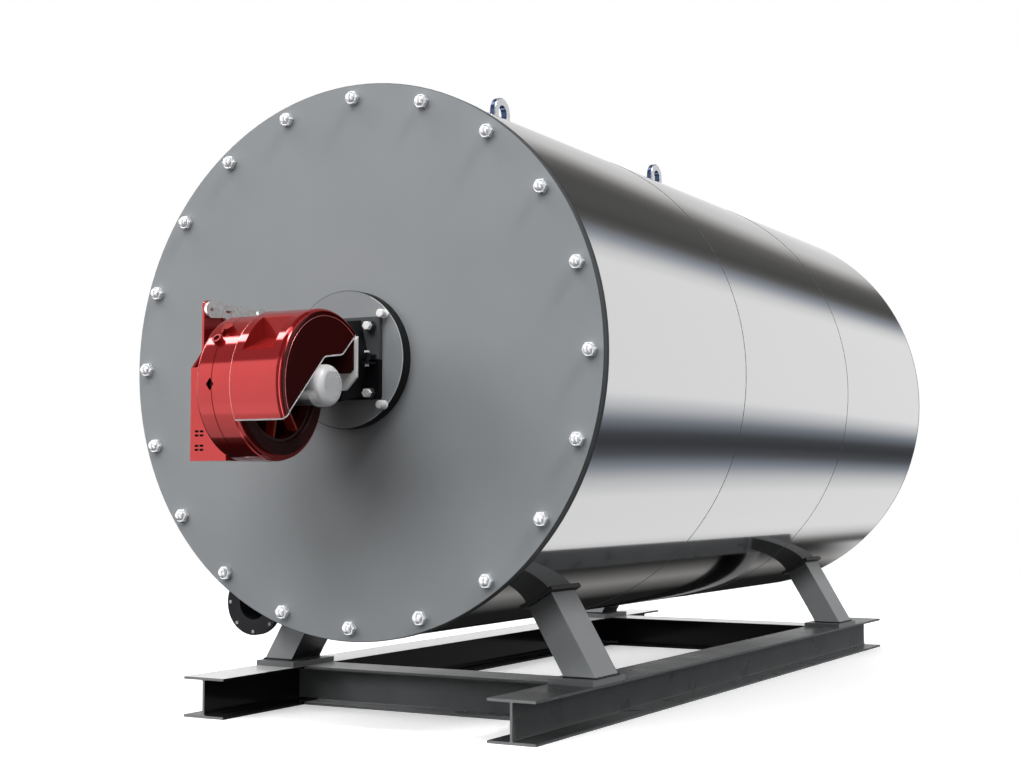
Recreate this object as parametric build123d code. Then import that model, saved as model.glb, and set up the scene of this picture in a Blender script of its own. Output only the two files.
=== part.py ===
from build123d import *
import os
from math import cos, radians, sin, sqrt, tan

# Horizontal oil-heating boiler on a skid, with a forced-draught burner on its front plate.
# Millimetres, +Z up. Every piece is drawn about the boiler's axis, with y = 0 on the face of the
# front plate and +Y towards the rear, and is set down on the floor when it is written.

# Boiler body
body_length = 3724
plate_radius = 950
plate_thickness = 20
plate_edge = 3
plate_lip = 5
flange_thickness = 16
insulation = 100
shell_wall = 12
rear_plate_thickness = 16
rear_plate_inset = 2

# Stainless cladding in three sections
cladding_sheet = 3
cladding_edge = 1
front_section = 1210
middle_section = 1269

# Flue outlet on the rear plate
flue_radius = 225
flue_wall = 6
flue_length = 150
flue_margin = 170
flue_flange_rim = 50
flue_flange_thickness = 12
flue_bolt_count = 12
flue_bolt_hole = 7

# Lifting lugs on the crown
lug_front = 1022
lug_rear_setback = 15
lug_width = 125
lug_thickness = 25
lug_edge = 3
lug_eye_height = 114
lug_eye_radius = 32.5

# Saddle legs
leg_angle = 30.6
leg_width = 105
leg_depth = 180
leg_wall = 8
leg_front = 534
leg_rear_inset = 511
pad_thickness = 8
pad_overhang = 20
foot_width = 172
foot_length = 260
foot_thickness = 20

# Skid of H-beams
drum_clearance = 157
beam_width = 177
beam_height = 143
beam_flange = 9
beam_web = 8
beam_root = 6
beam_inset = 17.4
beam_overhang_front = 9
beam_overhang_rear = 35
cross_setback = 24

# Oil connections
nozzle_angle = 37.02
nozzle_standoff = 129.6
nozzle_face = 300
nozzle_radius = 66.5
nozzle_wall = 4
nozzle_bend = 125
nozzle_neck = 20
nozzle_rim = 53.5
nozzle_flange_thickness = 24
nozzle_bolt_inset = 13
nozzle_bolt_count = 8
nozzle_bolt_hole = 6.5

# Burner mounting
disc_radius = 235
disc_thickness = 42
burner_flange_width = 300
burner_flange_height = 276
burner_flange_thickness = 18
burner_flange_corner = 12
split_drop = 6
split_width = 4
neck_width = 216
neck_height = 256
neck_flat = 150
neck_spread = 24
ear_width = 24
ear_reach = 50
ear_thickness = 6
ear_gap = 20
hinge_bolt_radius = 5

# Burner fan, on an axis across the boiler
fan_forward = 420
fan_drop = 115
fan_radius = 234
fan_wall = 8
fan_left = -136
fan_seam = -71
fan_right = 13
fan_edge = 14
fan_land = 12
seam_groove = 3
intake_border = 62
intake_rim = 42
intake_ring_depth = 12
intake_round = 9
spider_depth = 34
spider_rim = 8
rib_count = 8
rib_turn = 35
rib_thickness = 9
hub_radius = 74

# Latch recess on the front of the fan
latch_width = 30
latch_height = 42
latch_depth = 9
latch_offset = -77

# Motor in the air intake
motor_radius = 60
motor_length = 152
motor_flange_rim = 11
motor_flange_depth = 12
cowl_rim = 6
cowl_length = 53
cowl_round = 26
grille_radius = 46
grille_slots = 13
grille_slot = 3.6
grille_depth = 7

# Hood over the motor and the intake
hood_overlap = 11
hood_step = 8
hood_shift = 5
hood_lip = 2.5
hood_shoulder = 4
hood_wall = 8
hood_right = 195
hood_edge = 21
hood_face_rim = 24
hood_recess = 3
hood_front_drop = 117
hood_notch_front = 6
hood_notch_rear = 90
hood_notch_height = 88
hood_notch_rise = 13
hood_rear_slope = 43
hood_cut_round = 28
hood_trim = 5
pocket_left = 33
pocket_right = 150
pocket_back = 110
pocket_floor = 145
pocket_slope = 22.4
panel_rear = 160
panel_proud = 8
panel_drop = 6
panel_chamfer = 42
panel_thickness = 12
baffle_thickness = 5
baffle_rise = 54
baffle_border = 8
baffle_corner = 12

# Control box and side plate
box_left = -284
box_front = 80
box_depth = 236
box_top = 68
box_bottom = 232
box_edge = 6
vent_inset = 22
vent_spacing = 20
vent_rise = 42
vent_pitch = 46
vent_width = 16
vent_height = 20
vent_bar = 7
vent_depth = 8
side_plate = 8
side_plate_top = 292
side_plate_depth = 220
side_plate_setback = 56
side_plate_corner = 18
bracket_thickness = 10
bracket_height = 263
bracket_rise = 12
bracket_reach = 268
bracket_big = 27
bracket_small = 15
bracket_tab = 22
bracket_tab_drop = 13
bracket_tab_place = 88
bracket_hole = 7
bracket_slot = 34

# Small fittings on the fan housing
port_radius = 16
port_bore = 10
port_length = 15
port_angle = 144.5
port_side = -78
lever_width = 8
lever_length = 48
lever_height = 10
lever_turn = 107
lever_angle = 133
lever_side = -80
boss_radius = 15
boss_length = 17
boss_angle = 133
boss_side = -57

# Places that follow from the sizes above
cladding_radius = plate_radius - plate_lip
shell_radius = cladding_radius - insulation
cladding_start = plate_thickness + flange_thickness
cladding_end = body_length - rear_plate_thickness
seam_front = cladding_start + front_section
seam_rear = seam_front + middle_section
flue_flange_radius = flue_radius + flue_flange_rim
flue_height = shell_radius - flue_margin - flue_flange_radius
flue_end = body_length + flue_length
lug_rear = seam_rear + lug_rear_setback
leg_rear = body_length - leg_rear_inset
beam_top = -cladding_radius - drum_clearance
axis_height = beam_height - beam_top
foot_top = beam_top + foot_thickness
beam_offset = -foot_top * tan(radians(leg_angle)) - beam_inset
nozzle_reach = cladding_radius + nozzle_standoff
nozzle_offset = nozzle_reach * sin(radians(nozzle_angle))
nozzle_drop = nozzle_reach * cos(radians(nozzle_angle))
fan_y = -fan_forward
fan_z = -fan_drop
intake_radius = fan_radius - intake_border
disc_face = -disc_thickness
burner_flange_face = disc_face - burner_flange_thickness
hood_radius = fan_radius + hood_step
hood_left = fan_right - hood_overlap
shoulder_radius = fan_radius - hood_shoulder
panel_right = hood_right + panel_proud
burner_front = fan_y + hood_shift - hood_radius
middle = (burner_front + max(flue_end, body_length + beam_overhang_rear)) / 2
cowl_start = fan_right + motor_length
at_fan = Pos(0, fan_y, fan_z)


def along_y(sketch, start, end):
    """A profile drawn in x and z, carried along the boiler's axis from start to end."""
    return extrude(Plane((0, end, 0), (1, 0, 0), (0, -1, 0)) * sketch, end - start)


def along_x(sketch, start, end):
    """A profile drawn in y and z, carried across the boiler from start to end."""
    return extrude(Plane((start, 0, 0), (0, 1, 0), (1, 0, 0)) * sketch, end - start)


def disc(radius, start, end, x=0, z=0):
    """A round bar along the boiler's axis."""
    return along_y(Pos(x, z) * Circle(radius), start, end)


def ring(radius, bore, start, end, x=0, z=0):
    """A tube or flat ring along the boiler's axis."""
    return disc(radius, start, end, x, z) - disc(bore, start, end, x, z)


def fan_disc(radius, start, end):
    """A round bar along the fan's axis."""
    return along_x(Pos(fan_y, fan_z) * Circle(radius), start, end)


def hood_disc(radius, start, end):
    """A round bar across the boiler on the hood's own axis, a little behind the fan's."""
    return Pos(0, hood_shift, 0) * fan_disc(radius, start, end)


def fan_ring(radius, bore, start, end):
    """A tube or flat ring along the fan's axis."""
    return fan_disc(radius, start, end) - fan_disc(bore, start, end)


def outline(*points):
    """A closed face with straight edges."""
    return make_face(Polyline(*points, close=True))


def both_sides(name, solid):
    """The same piece on the right and on the left of the boiler."""
    return {name + "_right": solid, name + "_left": mirror(solid, Plane.YZ)}


def boiler_body():
    """Front plate, flange ring, closed shell, three cladding sections and the rear plate."""
    front = disc(plate_radius, 0, plate_thickness)
    front = fillet(front.faces().sort_by(Axis.Y)[0].edges(), plate_edge)
    bore = shell_radius - shell_wall
    shell = disc(shell_radius, cladding_start, cladding_end)
    shell -= disc(bore, cladding_start, cladding_end - shell_wall)
    rear = disc(cladding_radius - rear_plate_inset, cladding_end, body_length)
    rear -= disc(flue_radius - flue_wall, cladding_end, body_length, 0, flue_height)
    pieces = {
        "front_plate": front,
        "shell_flange": ring(plate_radius, bore, plate_thickness, cladding_start),
        "boiler_shell": shell,
        "rear_plate": rear,
    }
    ends = (cladding_start, seam_front, seam_rear, cladding_end)
    for name, start, end in zip(("front", "middle", "rear"), ends, ends[1:]):
        sheet = disc(cladding_radius, start, end)
        sheet = chamfer(sheet.edges().filter_by(GeomType.CIRCLE), cladding_edge)
        pieces["cladding_" + name] = sheet - disc(cladding_radius - cladding_sheet, start, end)
    return pieces


def flue_outlet():
    """Round flue spigot on the rear plate, with a drilled flange at its end."""
    seat = flue_end - flue_flange_thickness
    spigot = ring(flue_radius, flue_radius - flue_wall, body_length, flue_end, 0, flue_height)
    flange = ring(flue_flange_radius, flue_radius, seat, flue_end, 0, flue_height)
    bolt_circle = flue_radius + flue_flange_rim / 2
    for hole in PolarLocations(bolt_circle, flue_bolt_count):
        flange -= along_y(Pos(0, flue_height) * hole * Circle(flue_bolt_hole), seat, flue_end)
    return {"flue_spigot": spigot, "flue_flange": flange}


def lifting_lug(centre):
    """Plate with a rounded top and an eye, standing on the crown of the cladding."""
    eye = cladding_radius + lug_eye_height
    face = Pos(centre, eye) * Circle(lug_width / 2)
    face += Pos(centre, cladding_radius + lug_eye_height / 2) * Rectangle(lug_width, lug_eye_height)
    plate = along_x(face, -lug_thickness / 2, lug_thickness / 2)
    rim = plate.edges().filter_by(GeomType.CIRCLE)
    plate = chamfer(rim, lug_edge)
    return plate - along_x(Pos(centre, eye) * Circle(lug_eye_radius), -lug_thickness / 2, lug_thickness / 2)


def saddle_leg(centre):
    """Box-section leg on a radius of the boiler, from its wrapper pad down to its foot plate."""
    length = 2 * axis_height
    tube = Box(leg_width, leg_depth, length)
    tube -= Box(leg_width - 2 * leg_wall, leg_depth - 2 * leg_wall, length)
    leg = Rot(0, -leg_angle, 0) * (Pos(0, centre, -length / 2) * tube)
    leg -= disc(cladding_radius + pad_thickness, centre - leg_depth, centre + leg_depth)
    below = Pos(0, centre, foot_top - length) * Box(4 * axis_height, 2 * leg_depth, 2 * length)
    return leg - below


def wrapper_pad(centre):
    """Plate bent to the cladding, which spreads the leg's load."""
    outer = cladding_radius + pad_thickness
    half = leg_depth / 2 + pad_overhang
    strip = ring(outer, cladding_radius, centre - half, centre + half)
    wedge = Pos(0, centre, -outer / 2) * Box(leg_width + 2 * pad_overhang, 2 * half, outer)
    return strip & (Rot(0, -leg_angle, 0) * wedge)


def foot_plate(centre):
    """Flat plate between the leg and the beam."""
    return Pos(beam_offset, centre, beam_top + foot_thickness / 2) * Box(foot_width, foot_length, foot_thickness)


def saddles():
    """Legs, wrapper pads and foot plates, at the front and the rear of both sides."""
    pieces = {}
    for place, centre in (("front", leg_front), ("rear", leg_rear)):
        pieces |= both_sides("leg_" + place, saddle_leg(centre))
        pieces |= both_sides("wrapper_pad_" + place, wrapper_pad(centre))
        pieces |= both_sides("foot_plate_" + place, foot_plate(centre))
    return pieces


def h_section():
    """Outline of an H-beam, centred on its web, with rounded roots."""
    web_height = beam_height - 2 * beam_flange
    face = Rectangle(beam_width, beam_height)
    space = Rectangle((beam_width - beam_web) / 2, web_height)
    for side in (-1, 1):
        place = Pos(side * (beam_width + beam_web) / 4, 0)
        hollow = place * space
        roots = hollow.vertices().sort_by(Axis.X)
        hollow = fillet(roots[:2] if side > 0 else roots[2:], beam_root)
        face -= hollow
    return face


def skid():
    """Two long H-beams and two cross beams, whose webs run on to the long beams' webs."""
    level = beam_top - beam_height / 2
    start = -beam_overhang_front
    end = body_length + beam_overhang_rear
    pieces = both_sides("beam", along_y(Pos(beam_offset, level) * h_section(), start, end))
    inner = beam_offset - beam_width / 2
    web_end = beam_offset - beam_web / 2
    web_height = beam_height - 2 * (beam_flange + beam_root)
    for place, centre in (("front", leg_front + cross_setback), ("rear", leg_rear + cross_setback)):
        beam = along_x(Pos(centre, level) * h_section(), -inner, inner)
        beam += Pos(0, centre, level) * Box(2 * web_end, beam_web, web_height)
        pieces["cross_beam_" + place] = beam
    return pieces


def oil_connection():
    """Drilled flange facing forward, and a pipe that bends up into the underside of the boiler."""
    neck_start = nozzle_face + nozzle_flange_thickness
    bend_start = neck_start + nozzle_neck
    riser = bend_start + nozzle_bend
    level = -nozzle_drop
    top = -sqrt(cladding_radius ** 2 - (nozzle_offset + nozzle_radius) ** 2)
    start = (-nozzle_offset, neck_start, level)
    turn = (-nozzle_offset, bend_start, level)
    turned = (-nozzle_offset, riser, level + nozzle_bend)
    path = Line(start, turn)
    path += TangentArc(turn, turned, tangent=(0, 1, 0))
    path += Line(turned, (-nozzle_offset, riser, top))
    mouth = Plane(start, (1, 0, 0), (0, 1, 0))
    pipe = sweep(mouth * Circle(nozzle_radius), path)
    pipe -= sweep(mouth * Circle(nozzle_radius - nozzle_wall), path)
    pipe -= disc(cladding_radius, nozzle_face, riser + 2 * nozzle_bend)
    radius = nozzle_radius + nozzle_rim
    bore = nozzle_radius - nozzle_wall
    flange = ring(radius, bore, nozzle_face, neck_start, -nozzle_offset, level)
    for hole in PolarLocations(radius - nozzle_bolt_inset, nozzle_bolt_count):
        drill = Pos(-nozzle_offset, level) * hole * Circle(nozzle_bolt_hole)
        flange -= along_y(drill, nozzle_face, neck_start)
    return pipe, flange


def oil_connections():
    """The oil connection at the front and the same one, turned round, at the rear."""
    pipe, flange = oil_connection()
    halfway = Plane((0, body_length / 2, 0), (1, 0, 0), (0, 1, 0))
    return {
        "oil_pipe_front": pipe,
        "oil_flange_front": flange,
        "oil_pipe_rear": mirror(pipe, halfway),
        "oil_flange_rear": mirror(flange, halfway),
    }


def neck_outline(grow):
    """Six-sided section of the neck, widest at the level of the burner's split flange."""
    flat = (neck_flat + grow) / 2
    high = (neck_height + grow) / 2
    wide = (neck_width + grow) / 2
    return outline((-flat, high), (flat, high), (wide, 0), (flat, -high), (-flat, -high), (-wide, 0))


def burner_mounting():
    """Round mounting disc, split burner flange, cast neck to the fan, and the hinge beside it."""
    mounting = disc(disc_radius, disc_face, 0)
    mounting = fillet(mounting.faces().sort_by(Axis.Y)[0].edges(), plate_edge)
    face = RectangleRounded(burner_flange_width, burner_flange_height, burner_flange_corner)
    flange = along_y(face, burner_flange_face, disc_face)
    split = Pos(0, burner_flange_face, -split_drop)
    flange -= split * Box(burner_flange_width, split_width, split_width)
    rear_end = Plane((0, burner_flange_face, 0), (1, 0, 0), (0, -1, 0))
    front_end = Plane((0, fan_y, fan_z / 2), (1, 0, 0), (0, -1, 0))
    neck = loft([rear_end * neck_outline(0), front_end * neck_outline(neck_spread)])
    neck -= fan_disc(fan_radius, fan_left - fan_radius, hood_left)
    neck -= hood_disc(hood_radius, hood_left, hood_right + fan_radius)
    ear_x = neck_width / 2 + neck_spread / 4 + ear_width / 2
    ear_y = burner_flange_face - ear_reach / 2
    bolt_y = burner_flange_face - ear_reach * 3 / 4
    hinge_height = ear_gap + 4 * ear_thickness
    hinge = Pos(ear_x, bolt_y, -split_drop) * Cylinder(hinge_bolt_radius, hinge_height)
    for side in (-1, 1):
        level = side * (ear_gap + ear_thickness) / 2 - split_drop
        hinge += Pos(ear_x, ear_y, level) * Box(ear_width, ear_reach, ear_thickness)
    return {
        "burner_mounting_disc": mounting,
        "burner_flange": flange,
        "burner_neck": neck,
        "burner_hinge": hinge,
    }


def fan():
    """Drum-shaped fan housing with an open intake, its rim ring and the spider that holds the motor."""
    housing = fan_disc(fan_radius, fan_left, hood_left)
    housing = fillet(housing.faces().sort_by(Axis.X)[0].edges(), fan_edge)
    housing = chamfer(housing.faces().sort_by(Axis.X)[-1].edges(), seam_groove)
    housing += fan_disc(shoulder_radius, fan_left + fan_edge, fan_right)
    land = Pos(0, fan_y, fan_z + 2 * fan_radius - fan_land) * Box(4 * fan_radius, 2 * fan_radius, 2 * fan_radius)
    housing -= land
    housing -= fan_disc(shoulder_radius - fan_land, fan_left + fan_wall, fan_right - fan_wall)
    housing -= fan_disc(intake_radius, fan_right - fan_wall, fan_right)
    seam_start = fan_seam - seam_groove / 2
    housing -= fan_ring(fan_radius, fan_radius - seam_groove, seam_start, seam_start + seam_groove)
    diamond = outline((0, latch_height / 2), (latch_width / 2, 0), (0, -latch_height / 2), (-latch_width / 2, 0))
    recess_end = fan_y - fan_radius + latch_depth
    housing -= along_y(Pos(latch_offset, fan_z) * diamond, fan_y - fan_radius - latch_depth, recess_end)
    lip = fan_ring(intake_radius + intake_rim, intake_radius, fan_right, fan_right + intake_ring_depth)
    lip = fillet(lip.faces().sort_by(Axis.X)[-1].inner_wires()[0].edges(), intake_round)
    spider_start = fan_right - spider_depth
    spider = fan_ring(intake_radius, intake_radius - spider_rim, spider_start, fan_right)
    spider += fan_disc(hub_radius, spider_start, fan_right)
    arm = intake_radius - spider_rim / 2
    rib = Pos((spider_start + fan_right) / 2, arm / 2, 0) * Box(spider_depth, arm, rib_thickness)
    for number in range(rib_count):
        spider += at_fan * Rot(rib_turn + 360 / rib_count * number, 0, 0) * rib
    return {"fan_housing": housing, "intake_ring": lip, "motor_spider": spider}


def motor():
    """Motor on the spider's hub, with a rounded cowl and a slotted grille at its end."""
    body = fan_disc(motor_radius, fan_right, cowl_start)
    body += fan_disc(motor_radius + motor_flange_rim, fan_right, fan_right + motor_flange_depth)
    cowl_end = cowl_start + cowl_length
    cowl = fan_disc(motor_radius + cowl_rim, cowl_start, cowl_end)
    cowl = fillet(cowl.faces().sort_by(Axis.X)[-1].edges(), cowl_round)
    pitch = 2 * grille_radius / (grille_slots + 1)
    for number in range(grille_slots):
        height = pitch * (number + 1) - grille_radius
        length = 2 * sqrt(grille_radius ** 2 - height ** 2)
        slot = Pos(cowl_end - grille_depth / 2, fan_y, fan_z + height)
        cowl -= slot * Box(grille_depth, length, grille_slot)
    return {"motor_body": body, "motor_cowl": cowl}


def hood_cut(grow):
    """Face, in y and z, of what the hood leaves open below and behind the motor, grown for its trim."""
    reach = 2 * hood_radius
    front_reach = hood_notch_front + hood_notch_height + hood_front_drop
    rear_rise = reach * tan(radians(hood_rear_slope))
    face = outline(
        (-reach, -hood_front_drop),
        (-front_reach, -hood_front_drop),
        (-hood_notch_front, hood_notch_height),
        (hood_notch_rear, hood_notch_height + hood_notch_rise),
        (hood_notch_rear + reach, hood_notch_height + hood_notch_rise + rear_rise),
        (hood_notch_rear + reach, -reach),
        (-reach, -reach),
    )
    bends = face.vertices().filter_by(lambda bend: abs(bend.X) < front_reach and bend.Y > 0)
    face = fillet(bends, hood_cut_round)
    if grow:
        face = offset(face, grow, kind=Kind.INTERSECTION)
    return Pos(fan_y, fan_z) * face


def hood_pocket(grow):
    """Scoop in the hood's front with a sloping floor, grown by the wall for the hood's inside."""
    reach = 2 * hood_radius
    fall = (reach - pocket_back) * tan(radians(pocket_slope))
    face = outline(
        (-pocket_back, pocket_floor),
        (-pocket_back, reach),
        (-reach, reach),
        (-reach, pocket_floor - fall),
    )
    if grow:
        face = offset(face, grow, kind=Kind.INTERSECTION)
    return along_x(Pos(fan_y, fan_z) * face, pocket_left - grow, pocket_right + grow)


def hood_cover():
    """Round cover with a recessed end face and a scoop in its front, before its lower side is cut away."""
    face = hood_right - hood_recess
    cover = hood_disc(hood_radius, hood_left, hood_right)
    cover = fillet(cover.faces().sort_by(Axis.X)[-1].edges(), hood_edge)
    cover = fillet(cover.faces().sort_by(Axis.X)[0].edges(), hood_lip)
    cover -= hood_disc(hood_radius - hood_face_rim, face, hood_right)
    cover -= fan_disc(shoulder_radius, hood_left, fan_right)
    inside = hood_disc(hood_radius - hood_wall, fan_right, face - hood_wall)
    return cover - hood_pocket(0) - (inside - hood_pocket(hood_wall))


def rear_board(rear, thickness, right, bottom, corner, hood_edges):
    """Board across the rear of the hood with its lower right corner cut off."""
    left = fan_right + intake_ring_depth
    face = outline(
        (left, bottom),
        (right - corner, bottom),
        (right, bottom + corner),
        (right, fan_z + hood_radius),
        (left, fan_z + hood_radius),
    )
    board = along_y(face, rear - thickness, rear)
    board &= hood_disc(hood_radius - hood_wall, fan_right, panel_right)
    return (board - hood_edges).solids().sort_by(SortBy.VOLUME)[-1]


def hood():
    """Hood cut away below the motor, the trim along that cut, the pale rear panel and its baffle."""
    cover = hood_cover()
    far = hood_right + hood_radius
    open_side = along_x(hood_cut(0), hood_left, far)
    trimmed = along_x(hood_cut(hood_trim), hood_left, far)
    shell = cover - trimmed
    trim = (cover & trimmed) - open_side
    rear = fan_y + panel_rear
    bottom = fan_z - panel_drop
    beyond = hood_disc(hood_radius, hood_right - hood_recess, panel_right) - open_side
    edges = shell + trim + beyond
    panel = rear_board(rear, panel_thickness, panel_right, bottom, panel_chamfer, edges)
    baffle_rear = rear - panel_thickness
    baffle_right = panel_right - baffle_border
    baffle_bottom = bottom + baffle_rise
    baffle = rear_board(baffle_rear, baffle_thickness, baffle_right, baffle_bottom, baffle_corner, edges)
    return {
        "burner_hood": shell,
        "hood_trim": trim,
        "hood_rear_panel": panel,
        "hood_baffle": baffle,
    }


def control_box():
    """Control box beside the fan with vents in its front, and the side plate that stands on it."""
    front = fan_y - box_front
    top = fan_z + box_top
    bottom = fan_z - box_bottom
    box = Pos((box_left + fan_left) / 2, front + box_depth / 2, (top + bottom) / 2)
    box *= Box(fan_left - box_left, box_depth, top - bottom)
    box = fillet(box.edges().filter_by(Axis.Z).sort_by(Axis.X)[:2], box_edge)
    for column in (0, 1):
        for row in (0, 1):
            x = box_left + vent_inset + vent_width / 2 + column * vent_spacing
            z = bottom + vent_rise + row * vent_pitch
            for bar in (-1, 1):
                slot = Pos(x, front, z + bar * (vent_height - vent_bar) / 2)
                box -= slot * Box(vent_width, 2 * vent_depth, vent_bar)
    setback = front + side_plate_setback
    plate_top = fan_z + side_plate_top
    rear = front + side_plate_depth
    slope_start = front + box_edge
    face = outline(
        (slope_start, top),
        (setback, top + side_plate_setback),
        (setback, plate_top),
        (rear, plate_top),
        (rear, top),
    )
    face = fillet(face.vertices().group_by(Axis.Y)[-1], side_plate_corner)
    return {"control_box": box, "side_plate": along_x(face, box_left, box_left + side_plate)}


def linkage_bracket():
    """Tapered flat bar with rounded ends, a tab below, holes and a slot, fixed to the side plate."""
    start_y = fan_y - box_front + side_plate_setback + bracket_big
    end_y = start_y + bracket_reach
    level = fan_z + bracket_height
    big = Pos(start_y, level) * Circle(bracket_big)
    small = Pos(end_y, level + bracket_rise) * Circle(bracket_small)
    bar = make_hull((big + small).edges())
    tab_y = start_y + bracket_tab_place
    bar += Pos(tab_y, level - bracket_tab_drop) * Circle(bracket_tab)
    bar -= Pos(start_y, level) * Circle(bracket_hole)
    bar -= Pos(end_y - 2 * bracket_small, level + bracket_rise) * Circle(bracket_hole)
    bar -= Pos(tab_y, level) * SlotOverall(bracket_slot, bracket_hole)
    face = box_left + side_plate
    return {"linkage_bracket": along_x(bar, face, face + bracket_thickness)}


def standing_on_drum(face, length, angle, side):
    """A face carried out from the fan's drum, square to it, at an angle from the rear."""
    foot = Plane((0, fan_radius - fan_wall / 2, 0), (1, 0, 0), (0, 1, 0))
    boss = Rot(angle, 0, 0) * extrude(foot * face, length + fan_wall / 2)
    drum = Rot(0, 90, 0) * Cylinder(fan_radius, 4 * fan_radius)
    return Pos(side, fan_y, fan_z) * (boss - drum)


def fan_fittings():
    """Sight port with its bore, and the damper's boss with its lever, all square on the drum."""
    port = standing_on_drum(Circle(port_radius), port_length, port_angle, port_side)
    bore_foot = Plane((0, fan_radius + port_length / 2, 0), (1, 0, 0), (0, 1, 0))
    bore = Rot(port_angle, 0, 0) * extrude(bore_foot * Circle(port_bore), port_length)
    port -= Pos(port_side, fan_y, fan_z) * bore
    boss = standing_on_drum(Circle(boss_radius), boss_length, boss_angle, boss_side)
    bar = Rot(0, 0, lever_turn) * SlotOverall(lever_length, lever_width)
    lever = standing_on_drum(bar, lever_height, lever_angle, lever_side)
    return {"sight_port": port, "damper_boss": boss, "damper_lever": lever}


pieces = boiler_body()
pieces |= flue_outlet()
pieces |= {"lifting_lug_front": lifting_lug(lug_front), "lifting_lug_rear": lifting_lug(lug_rear)}
pieces |= saddles()
pieces |= skid()
pieces |= oil_connections()
pieces |= burner_mounting()
pieces |= fan()
pieces |= motor()
pieces |= hood()
pieces |= control_box()
pieces |= linkage_bracket()
pieces |= fan_fittings()

os.makedirs("parts", exist_ok=True)
for name, piece in pieces.items():
    export_step(Pos(0, -middle, axis_height) * piece, f"parts/{name}.step")
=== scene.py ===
import math

import bpy
import numpy as np
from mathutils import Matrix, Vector


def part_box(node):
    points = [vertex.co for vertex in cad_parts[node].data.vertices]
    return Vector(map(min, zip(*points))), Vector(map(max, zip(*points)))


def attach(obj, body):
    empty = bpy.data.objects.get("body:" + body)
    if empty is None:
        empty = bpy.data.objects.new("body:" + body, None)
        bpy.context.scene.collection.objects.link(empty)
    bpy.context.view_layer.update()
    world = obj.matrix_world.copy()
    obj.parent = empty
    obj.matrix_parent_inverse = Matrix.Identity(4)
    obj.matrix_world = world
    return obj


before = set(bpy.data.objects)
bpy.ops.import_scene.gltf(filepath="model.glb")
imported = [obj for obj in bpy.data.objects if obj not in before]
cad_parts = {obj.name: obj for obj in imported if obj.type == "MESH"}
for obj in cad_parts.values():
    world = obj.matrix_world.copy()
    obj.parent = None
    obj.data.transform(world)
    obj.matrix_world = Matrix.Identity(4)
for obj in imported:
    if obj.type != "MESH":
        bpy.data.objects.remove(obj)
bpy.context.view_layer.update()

bl_info = {
    "name": "Boiler on a skid",
    "version": (1, 0, 0),
    "blender": (4, 5, 0),
    "location": "View3D > Sidebar > Boiler",
    "description": "Finishes, fasteners and studio for a horizontal boiler with a burner",
    "category": "Object",
}

# Places that several pieces share, in metres
plate_low, plate_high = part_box("front_plate")
axis_z = (plate_low[2] + plate_high[2]) / 2
plate_face = plate_low[1]
rear_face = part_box("rear_plate")[1][1]

white = (1.0, 1.0, 1.0)
# A surface looks along an axis where that part of its direction is over this
steep = 0.5
# Depth of the layer at a flat end that counts as its face, in metres
skin = 0.0005


def length(label, words, value):
    """A size in metres that a user may change."""
    return bpy.props.FloatProperty(
        name=label, description=words, default=value, min=0.0, unit="LENGTH", precision=4)


def colour(label, words, value):
    """A linear colour that a user may change."""
    return bpy.props.FloatVectorProperty(
        name=label, description=words, default=value, subtype="COLOR", size=3, min=0.0, max=1.0)


def angle(label, words, degrees):
    """An angle that a user may change."""
    return bpy.props.FloatProperty(
        name=label, description=words, default=math.radians(degrees), unit="ROTATION")


def power(label, words, value):
    """A light's power in watts that a user may change."""
    return bpy.props.FloatProperty(name=label, description=words, default=value, min=0.0, unit="POWER")


def strength(label, words, value):
    """A strength without a unit that a user may change."""
    return bpy.props.FloatProperty(name=label, description=words, default=value, min=0.0)


class BoilerSizes(bpy.types.PropertyGroup):
    """Sizes of the fasteners and beads that are added to the solids"""
    nut_count: bpy.props.IntProperty(
        name="Nuts", description="Acorn nuts round each end plate", default=20, min=3)
    nut_circle: length("Nut circle", "Radius of the ring of acorn nuts", 0.903)
    nut_flats: length("Nut width", "Acorn nut across its flats", 0.044)
    nut_height: length("Nut height", "Acorn nut from the plate to the top of its dome", 0.038)
    flange_bolt: length("Flange bolt", "Hexagon head across its flats on the burner's flange", 0.027)
    disc_head: length("Disc bolt", "Round bolt head on the mounting disc, its radius", 0.0138)
    bolt_rise: length("Bolt rise", "Top of those bolts above the face they stand on", 0.033)
    hood_radius: length("Hood radius", "Outer radius of the burner's hood", 0.242)
    hood_rim: length("Hood rim", "Width of the rim round the hood's end face", 0.024)
    hood_bead: length("Hood bead", "Radius of the rolled edges on the hood", 0.0018)
    weld: length("Weld", "Leg of the weld beads", 0.007)
    seam_width: length("Seam", "Sealant line between two cladding sections, its width", 0.0045)


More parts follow.
